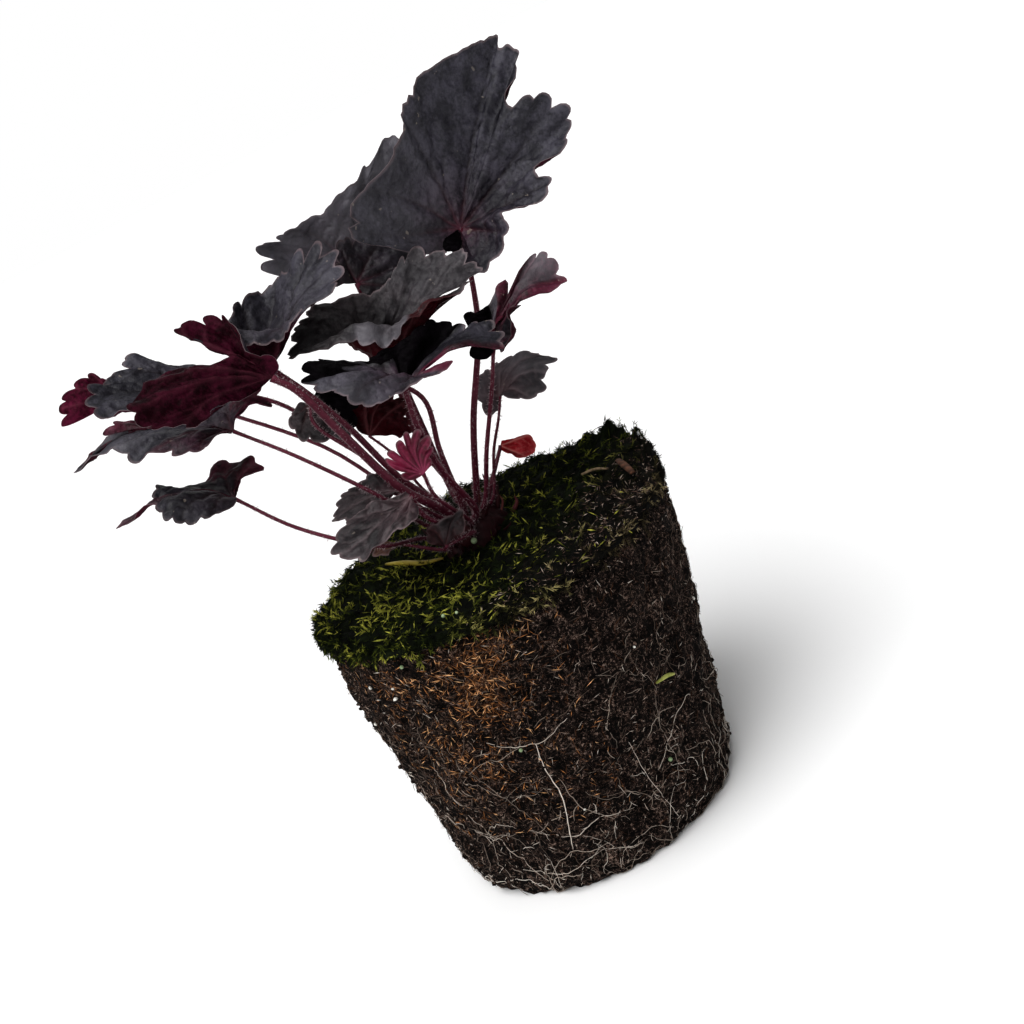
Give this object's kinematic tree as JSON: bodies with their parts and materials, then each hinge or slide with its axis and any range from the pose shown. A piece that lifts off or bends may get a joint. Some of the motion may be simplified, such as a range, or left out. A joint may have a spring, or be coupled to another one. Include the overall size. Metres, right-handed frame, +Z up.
{
  "type": "heuchera plant with bare root ball",
  "caption": "Coral bells lifted out of its pot: dark purple lobed leaves on hairy stalks over a mossy, root-filled ball of potting soil.",
  "frame": {"origin": "on the root ball's flat underside, straight below the middle of the moss, on the surface that it stands on", "axes": "+Z up through the root ball, +X to the side that the largest leaf leans to, -Y the front of the plant"},
  "size_m": [0.1881, 0.125, 0.2401],
  "materials": {
    "soil": "near-black brown peat and coir, crumbly and matte, bound by fine pale roots",
    "moss": "matted moss strands, dark green to yellow-green and brown, dull",
    "crown": "scaly dark red leaf bases, half matte",
    "leaf": "near-black purple-grey upper face with a satin sheen and puckered veins, burgundy underside",
    "young_leaf": "bright magenta, satin",
    "old_leaf": "faded red and brown, dry",
    "stalk": "burgundy red, satin, with short white hairs",
    "dead_stalk": "dry straw yellow, matte",
    "roots": "pale brown to grey-white roots, matte",
    "perlite": "white porous granules, matte",
    "bark": "brown bark chip, rough",
    "feed_beads": "pale green-grey beads of slow feed, dull"
  },
  "bodies": {
    "root": {"crown": "crown", "dead_stalk": "dead_stalk", "leaf_01_blade": "leaf", "leaf_01_stalk": "stalk", "leaf_02_blade": "leaf", "leaf_02_stalk": "stalk", "leaf_03_blade": "leaf", "leaf_03_stalk": "stalk", "leaf_04_blade": "leaf", "leaf_04_stalk": "stalk", "leaf_05_blade": "leaf", "leaf_05_stalk": "stalk", "leaf_06_blade": "leaf", "leaf_06_stalk": "stalk", "leaf_07_blade": "leaf", "leaf_07_stalk": "stalk", "leaf_08_blade": "leaf", "leaf_08_stalk": "stalk", "leaf_09_blade": "leaf", "leaf_09_stalk": "stalk", "leaf_10_blade": "leaf", "leaf_10_stalk": "stalk", "leaf_11_blade": "leaf", "leaf_11_stalk": "stalk", "leaf_12_blade": "leaf", "leaf_12_stalk": "stalk", "leaf_13_blade": "leaf", "leaf_13_stalk": "stalk", "leaf_14_blade": "leaf", "leaf_14_stalk": "stalk", "leaf_15_blade": "young_leaf", "leaf_15_stalk": "stalk", "leaf_16_blade": "leaf", "leaf_16_stalk": "stalk", "leaf_17_blade": "leaf", "leaf_17_stalk": "stalk", "leaf_18_blade": "leaf", "leaf_18_stalk": "stalk", "leaf_19_blade": "old_leaf", "leaf_19_stalk": "stalk", "leaf_20_blade": "old_leaf", "leaf_20_stalk": "stalk", "leaf_21_blade": "leaf", "leaf_21_stalk": "stalk", "moss_layer": "moss", "root_ball": "soil"}
  },
  "joints": []
}
